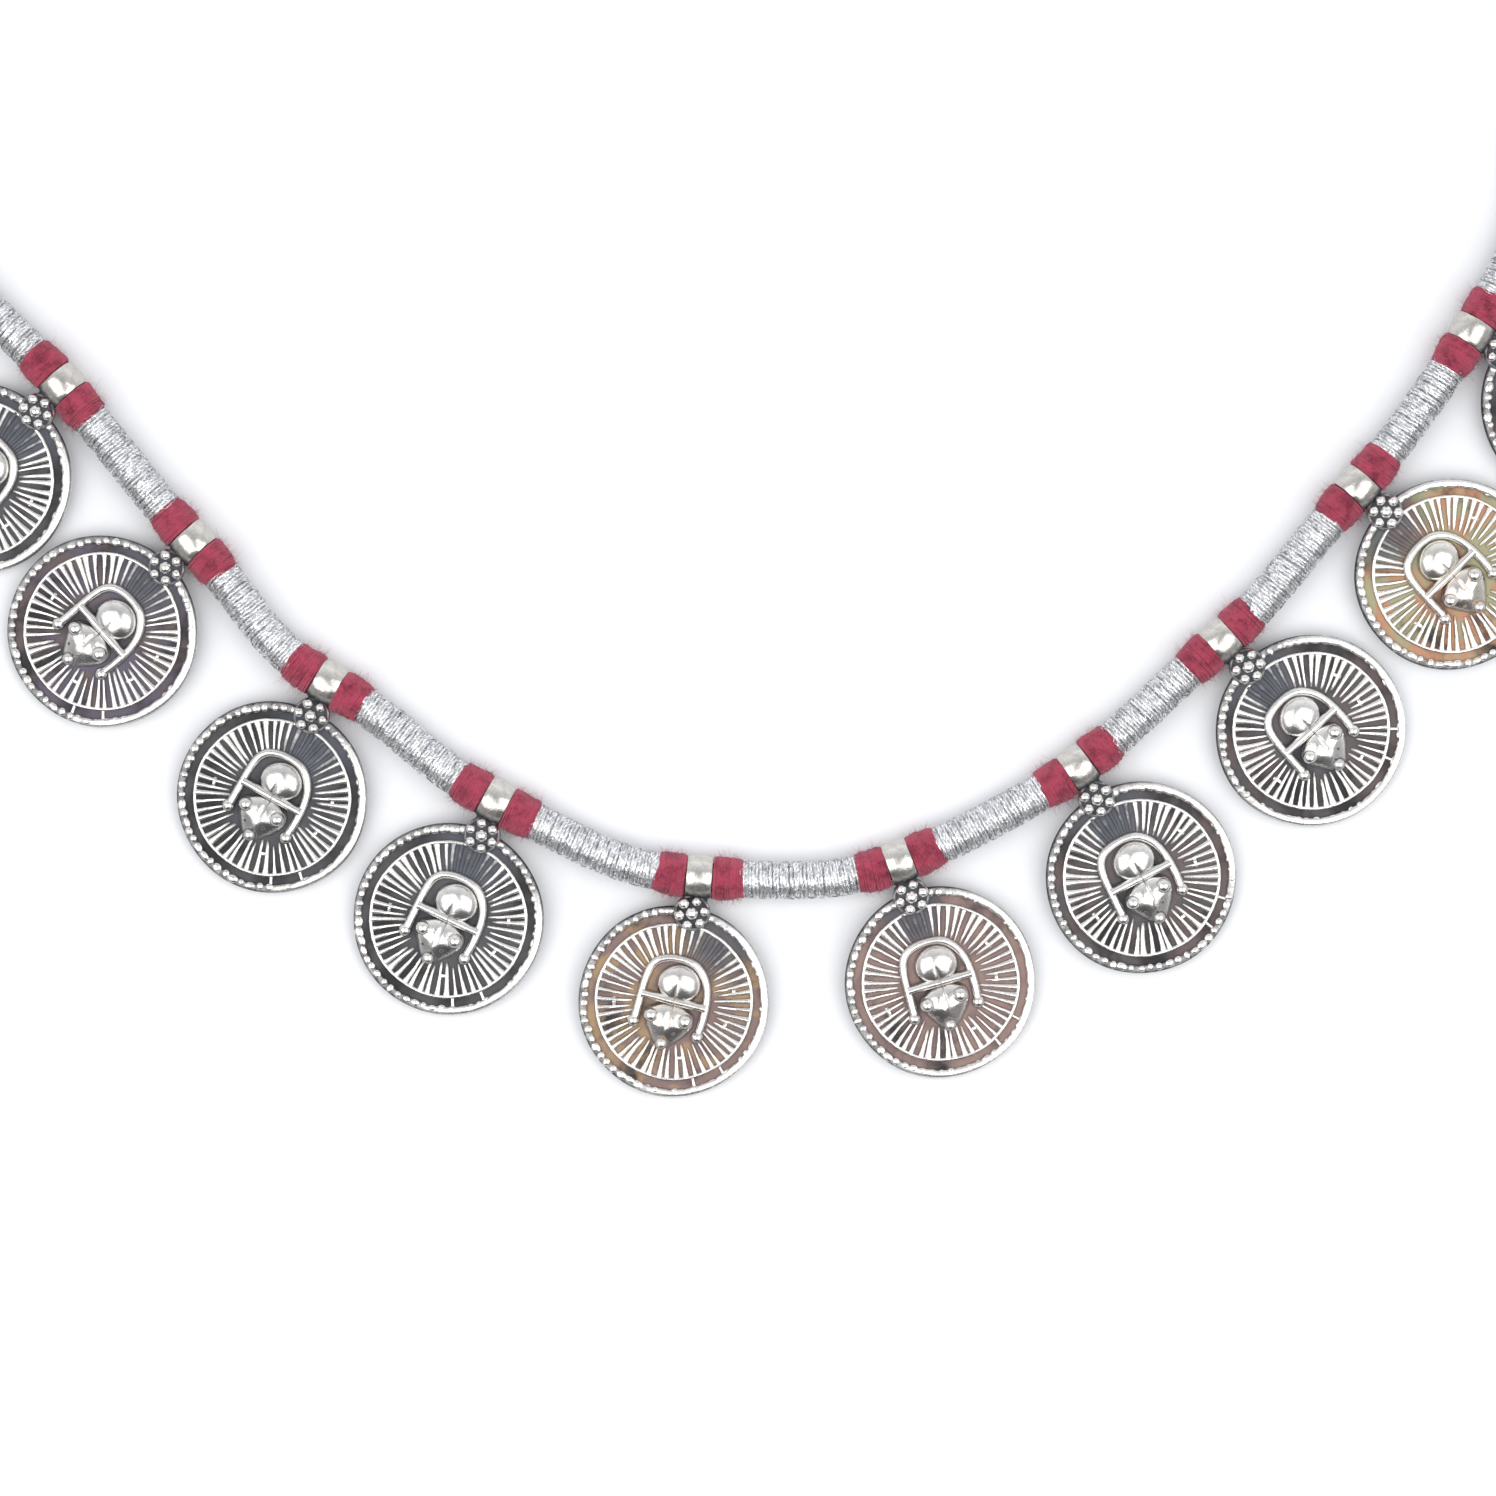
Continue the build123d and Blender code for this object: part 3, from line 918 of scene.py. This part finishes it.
def coinRing(piece, chance, dull):
    shape = coinShape
    steps = 106
    rings = []
    for k in range(steps):
        degrees = 360 * k / steps
        radius = shape["ringRadius"] + 0.03 * sin(radians(degrees * 7))
        radius += chance.uniform(-0.015, 0.015)
        high = shape["ringHigh"] + 0.03 * sin(radians(degrees * 11))
        if fromMiddle(degrees, 0) < 20:
            high *= 0.7
        section = ridgeSection(shape["ringWidth"] / 2, high, 0.12, 0.6, 0.4)
        rings.append([onCircle(radius + out, degrees, shape["field"] + up) for out, up in section])

    def ringRelief(row, column):
        return (0.1, 0.85, 1.0, 1.0, 0.85, 0.1)[column] * dulled(row * 360 / steps, dull)

    piece.add(rings, relief=ringRelief, closed=True)


def barRings(start, end, degrees, widths, highs, sway):
    # A low rounded bar that points away from the coin's middle.
    rings = []
    outward = onCircle(1.0, degrees, 0)
    across = Vector((outward.y, -outward.x, 0))
    for i, (width, high) in enumerate(zip(widths, highs)):
        share = i / (len(widths) - 1)
        middle = outward * (start + (end - start) * share) + across * sway * sin(pi * share)
        middle.z = coinShape["field"]
        section = ridgeSection(width / 2, high, 0.1, 0.55, 0.42)
        rings.append([middle + across * side + Vector((0, 0, up)) for side, up in section])
    return rings


def coinRays(piece, chance, dull):
    shape = coinShape
    barRelief = (0.1, 0.8, 1.0, 1.0, 0.8, 0.1)
    rowRelief = (0.5, 0.7, 0.86, 0.95, 1, 1, 1)
    archSpread, archStart = shape["archRays"]
    lowFrom, lowTo, lowShift = shape["lowRays"]
    for i in range(shape["rays"]):
        degrees = 360 * (i + 0.5) / shape["rays"] + chance.uniform(-0.8, 0.8)
        start = chance.uniform(*shape["rayStart"])
        if lowFrom < degrees < lowTo:
            start += lowShift
        elif fromMiddle(degrees, 0) < archSpread:
            start = max(start, archStart)
        fade = dulled(degrees, dull, 0.35)
        width = shape["rayWidth"] * chance.uniform(0.8, 1.2)
        widths = [width * share for share in (0.6, 0.74, 0.82, 0.9, 0.97, 1.08, 1.5)]
        high = shape["rayHigh"] * (0.4 + 0.6 * fade)
        highs = [high * share for share in (0.55, 0.95, 1, 1, 0.97, 1, 1)]
        rings = barRings(start, shape["ringRadius"], degrees, widths, highs, chance.uniform(-0.1, 0.1))
        strength = fade * chance.uniform(0.82, 1.0)
        piece.add(rings, relief=lambda row, column: barRelief[column] * strength * rowRelief[row])
    for degrees, radius in shape["links"]:
        wide = 2 * 0.62 * tau * radius / shape["rays"]
        half = shape["linkHalf"]
        rings = barRings(radius - half, radius + half, degrees, [wide] * 3, [0.2, 0.25, 0.2], 0)
        piece.add(rings, relief=lambda row, column: barRelief[column] * 0.9)
    for degrees in shape["grooveBars"]:
        widths, highs = [0.5, 0.4, 0.38, 0.45, 0.6], [0.2, 0.16, 0.14, 0.16, 0.2]
        rings = barRings(*shape["barReach"], degrees, widths, highs, 0.03)
        piece.add(rings, relief=lambda row, column: barRelief[column] * 0.75)


def shadedCreases(point):
    # Painted shade: low in the creases where the small balls and the crossbar meet the domes, and on the
    # upper dome's side towards the bail. Also lower towards the tip.
    share = 1.0
    for (x, y), size, *_ in motifShape["eyes"] + [motifShape["tip"]]:
        off = hypot(point.x - x, point.y - y) - size / 2
        share = min(share, max(0.45, 0.45 + off / 0.2))
    share = min(share, max(0.4, 0.4 + (abs(point.y - 0.12) - 0.36) / 0.25))
    share *= 1 - 0.35 * clamped((point.y - 2.0) / 0.5)
    return share * (1 - 0.3 * clamped((-2.7 - point.y) / 0.4))


def cleft(point):
    # The groove that parts the two lobes of the upper dome and runs on down the lower one.
    reach = clamped((2.2 - point.y) / 1.2) * clamped((point.y + 3.0) / 0.8)
    middle = -0.05 if point.y > 0 else -0.05 + 0.12 * point.y
    deeps = [deep * exp(-((point.x - middle) / wide) ** 2) for deep, wide in motifShape["cleft"]]
    return reach * sum(deeps)


def addDome(piece, outline, middle, steps, least, high, rise):
    # A dome over an outline, drawn in towards its middle as it goes up; high gives its height at a point.
    rings = []
    for row in range(steps + 1):
        lift = pi / 2 * row / steps
        spread = max(cos(lift), least)
        ring = []
        for point in outline:
            flat = middle + (point - middle) * spread
            flat.z = coinShape["thick"] - 0.1 + sin(lift) * high(flat)
            ring.append(flat)
        rings.append(ring)
    piece.add(rings, relief=lambda row, column: min(0.1 + row * rise, shadedCreases(rings[row][column])))


def coinMotif(piece):
    shape = motifShape
    level = coinShape["thick"]

    def wireRelief(row, column):
        return clamped(0.45 + 0.75 * sin(tau * column / 10))

    def archRelief(row, column):
        # A little darker at its top, as painted shade.
        return wireRelief(row, column) * (1 - 0.35 * sin(pi * row / (len(arch) - 1)) ** 6)

    arch = smoothLine([Vector((x, y, level + 0.12)) for x, y in shape["arch"]], 3)
    rings = wireRings(arch, lambda share: shape["wire"] * (1 + 0.05 * sin(share * 23)), 10, 1.05)
    piece.add(rings, relief=archRelief)
    bar = smoothLine([Vector((x, y, level + 0.5)) for x, y in shape["crossbar"]], 3)
    piece.add(wireRings(bar, shape["crossbarWire"], 10, 1.1), relief=wireRelief)
    for x, y in (shape["arch"][0], shape["arch"][-1]):
        rings = ballRings(Vector((x, y, level + 0.15)), *shape["archBall"], 14, 7, -0.5)
        piece.add(rings, relief=rising(0.1, 0.3))

    # The upper dome's crown lies beyond its middle, so the long slope faces the viewer's side.
    upper = shape["upperDome"]
    middle = Vector((*upper["middle"], 0))
    outline = []
    for k in range(44):
        turn = tau * k / 44
        x, y = cos(turn) * upper["across"][0] / 2, sin(turn) * upper["across"][1] / 2
        outline.append(middle + Vector((x, y if y > 0 else y * 0.94, 0)))
    crown = middle + Vector((0, upper["crown"], 0))
    addDome(piece, outline, crown, 14, 0.02, lambda point: upper["high"] + 0.1 - cleft(point), 0.2)

    def lowerHigh(point):
        droop = 1 - 0.6 * clamped((-2.6 - point.y) / 2.5)
        return (shape["lowerHigh"] + 0.1 - cleft(point)) * droop

    middle = Vector((*shape["lowerMiddle"], 0))
    outline = smoothLine([Vector((x, y, 0)) for x, y in shape["lowerOutline"]], 4, closed=True)
    addDome(piece, outline, middle, 13, 0.03, lowerHigh, 0.18)
    for (x, y), size, height in shape["eyes"]:
        rings = ballRings(Vector((x, y, level + height)), size, size * 0.9, 16, 8, -0.75)
        piece.add(rings, relief=rising(0.3, 0.28))
    (x, y), size = shape["tip"]
    rings = ballRings(Vector((x, y, level + 0.25)), size, size * 0.9, 14, 7, -0.5)
    piece.add(rings, relief=rising(0.1, 0.3, 0.62))


rosetteShape = {
    "radius": 1.95,
    "skirt": 0.32,
    "dome": 0.55,
    "grain": 1.16,
    "middleGrain": 1.36,
    "grainRing": 1.33,
}


def rosette(piece, chance, turned):
    shape = rosetteShape
    wide, skirt = shape["radius"], shape["skirt"]
    reach = Vector((0, coinShape["rosetteReach"], coinShape["thick"]))

    def domeHeight(share):
        return skirt + shape["dome"] * sqrt(1 - share * share)

    profile = [(0.3, -0.15), (wide - 0.1, -0.15), (wide, 0.0), (wide, skirt * 0.9),
               (wide - 0.1, skirt + 0.12), (wide - 0.26, skirt + 0.14)]
    profile += [(wide * share, domeHeight(share)) for share in (0.82, 0.55, 0.3, 0.02)]
    rings = [[reach + onCircle(radius, 12 * k, height) for k in range(30)] for radius, height in profile]
    piece.add(rings, relief=lambda row, column: 0.42 if row in (3, 4, 5) else 0.12)
    for radius, degrees in [(0.0, 0.0)] + [(shape["grainRing"], 60 * i + turned) for i in range(6)]:
        centre = reach + onCircle(radius, degrees, domeHeight(radius / wide) + 0.12)
        size = shape["middleGrain"] if radius == 0 else shape["grain"] * chance.uniform(0.92, 1.05)
        piece.add(ballRings(centre, size, size * 0.95, 16, 8, -0.7), relief=rising(0.0, 0.3))


bailShape = {
    "width": 2.7,
    "bore": 1.85,
    "edge": 2.15,
    "middle": 2.33,
    "strapWidth": 2.3,
    "strapThick": 0.8,
}


def bail():
    shape = bailShape
    piece = Piece("bail")
    half, bore, edge = shape["width"] / 2, shape["bore"], shape["edge"]
    profile = [(-half, bore), (-half, edge - 0.04)]
    for share in (-0.94, -0.6, -0.2, 0.2, 0.6, 0.94):
        profile.append((half * share, edge + (shape["middle"] - edge) * (1 - share * share)))
    profile += [(half, edge - 0.04), (half, bore)]

    # Patina inside the band and at its ends, and painted shade on the side that faces the strap.
    def wear(row, column):
        strapSideShade = max(0.0, -cos(tau * row / 48)) ** 3
        return (0.33 if column in (0, 9) else 0.66) * (1 - 0.75 * strapSideShade)

    piece.add(turnedRings(profile, 48, Vector()), relief=wear, closed=True)
    # The strap, of the band's two ends pressed together, runs in under the rosette.
    thick, wide = shape["strapThick"] / 2, shape["strapWidth"] / 2
    start = -(bore + 0.12)
    end = -(coinShape["reach"] - coinShape["rosetteReach"] + 0.2)
    side = [(-wide, -thick * 0.7), (-wide, thick * 0.7), (-wide * 0.86, thick), (-0.3, thick * 1.04)]
    section = side + [(-x, z) for x, z in reversed(side)] + [(wide * 0.86, -thick), (-wide * 0.86, -thick)]
    rings = []
    for i in range(7):
        share = i / 6
        y = start + (end - start) * share
        pinch = 1 - 0.1 * sin(pi * share)
        rings.append([Vector((x * pinch, y, z)) for x, z in section])
    piece.add(rings, relief=lambda row, column: 0.42 if column in (3, 4) else 0.25)
    return piece


def restingTilt(lean):
    # The turn about the bail that lays the coin's far edge on the floor, as the solid has it.
    shape = coinShape
    far = shape["reach"] * cos(radians(lean)) + shape["radius"] - shape["backRound"]
    drop = shape["thick"] / 2 - shape["backRound"]
    height = cord["height"] - shape["backRound"]
    return asin(height / hypot(far, drop)) - atan2(drop, far)


bailBase = bail()

for number, row in enumerate(coinRows, start=1):
    look = dict(zip(coinColumns, row))
    # The rays and the ring come from one mould, and the rim and the rosette are each coin's own.
    mould, own = random.Random(5), random.Random(40 + number)
    coin = Piece("coin")
    coinBlank(coin, look["worn"], number)
    coinRim(coin, own, look["worn"], look["dull"], number)
    coinRing(coin, mould, look["dull"])
    coinRays(coin, mould, look["dull"])
    coinMotif(coin)
    rosette(coin, own, look["turn"])
    point, way = cordLine.at(bailStations[number - 1])
    # The bail's own axes: X against the cord's run, -Y away from the loop.
    seat = Matrix.Translation(point) @ Matrix(((-way.x, way.y, 0), (-way.y, -way.x, 0), (0, 0, 1))).to_4x4()
    tilt = seat @ Matrix.Rotation(restingTilt(look["lean"]), 4, "X")
    fromBail = Matrix.Translation((0, -coinShape["reach"], -coinShape["thick"] / 2))
    hung = Matrix.Rotation(radians(look["lean"]), 4, "Z") @ fromBail
    pendant = coin.moved(f"coinPendant{number:02d}", tilt @ hung, Vector())
    pendant.join(bailBase.moved("bail", tilt, Vector((0, coinShape["reach"], 0))))
    pendant.make(silverOf(number, look), "cast_silver", f"coin_pendant_{number:02d}", sharp=50)
print("coins hung")


def barrel():
    shape = barrelShape
    piece = Piece("claspBarrel")
    r, half, bore = shape["radius"], shape["half"], shape["bore"]
    # From one end to the middle: a chamfer, a rim with a groove, and a groove at the middle.
    ending = [(-half, bore), (-half, r - 0.5), (-half + 0.18, r - 0.16), (-half + 0.6, r), (-half + 1.1, r),
              (-half + 1.25, r - 0.14), (-half + 1.4, r), (-0.25, r)]
    profile = ending + [(0.0, r - 0.16)] + [(-x, out) for x, out in reversed(ending)]
    piece.add(turnedRings(profile, 40, Vector(shape["middle"])), closed=True)
    return piece


barrel().make(polishedSilver(), "cast_silver", "clasp_barrel", sharp=40)
print("barrel turned")


view = {
    "middle": (0.00479, -0.0442),  # metres, the photograph's middle on the floor
    "across": 0.1575,  # metres across the picture at the level of the coins
    "level": 0.0019,
    "distance": 0.62,
    "sensor": 36.0,
}

# Two soft boxes on the viewer's side, with a gap between them: place and size in metres, and watts.
lights = {
    "leftBox": ((-0.27, -0.14, 0.46), (0.54, 0.48), 2.15),
    "rightBox": ((0.28, -0.14, 0.46), (0.54, 0.48), 2.1),
}

studio = {
    "lamp": (1.0, 0.99, 0.98),
    # By height: grey above, lighter towards the horizon as in a light tent, and a small white spot on top.
    "tent": [(0.1, (0.96, 0.975, 1.0)), (1.0, (0.5, 0.51, 0.53)), (1.0, (1.0, 1.0, 1.0))],
    # The window lies beyond the necklace, so the viewer's side of the tent is darker.
    "strength": 0.82,
    "window": 0.75,
}


def makeFloor():
    bpy.ops.mesh.primitive_plane_add(size=6.0, location=(0, 0, 0))
    floor = bpy.context.object
    floor.name = "floor"
    floor.data.materials.append(paleFloor())


def makeLight(name, place, size, watts):
    data = bpy.data.lights.new(name, "AREA")
    data.shape = "RECTANGLE"
    data.size, data.size_y = size
    data.energy = watts
    data.color = studio["lamp"]
    thing = addThing(name, data)
    thing.location = place
    aim = Vector((*view["middle"], 0)) - Vector(place)
    thing.rotation_euler = aim.to_track_quat("-Z", "Y").to_euler()


def makeWorld():
    world = bpy.data.worlds.new("studio")
    bpy.context.scene.world = world
    recipe = Recipe(world, "Background")
    place = recipe.node("ShaderNodeTexCoord", {}, {}, output="Generated")
    beyond, height = recipe.axes(place, "YZ")
    tent = recipe.node("ShaderNodeValToRGB", {"stops": studio["tent"]}, {"Fac": height})
    recipe.feed(recipe.last.inputs["Color"], tent)
    recipe.feed(recipe.last.inputs["Strength"], beyond * studio["window"] + studio["strength"])


def makeCamera():
    data = bpy.data.cameras.new("camera")
    data.sensor_width = view["sensor"]
    data.lens = view["sensor"] * (view["distance"] - view["level"]) / view["across"]
    data.clip_start = 0.01
    thing = addThing("camera", data)
    thing.location = (*view["middle"], view["distance"])
    bpy.context.scene.camera = thing


makeFloor()
for name, (place, size, watts) in lights.items():
    makeLight(name, place, size, watts)
makeWorld()
makeCamera()
bpy.context.scene.view_settings.view_transform = "Standard"
print("studio set")
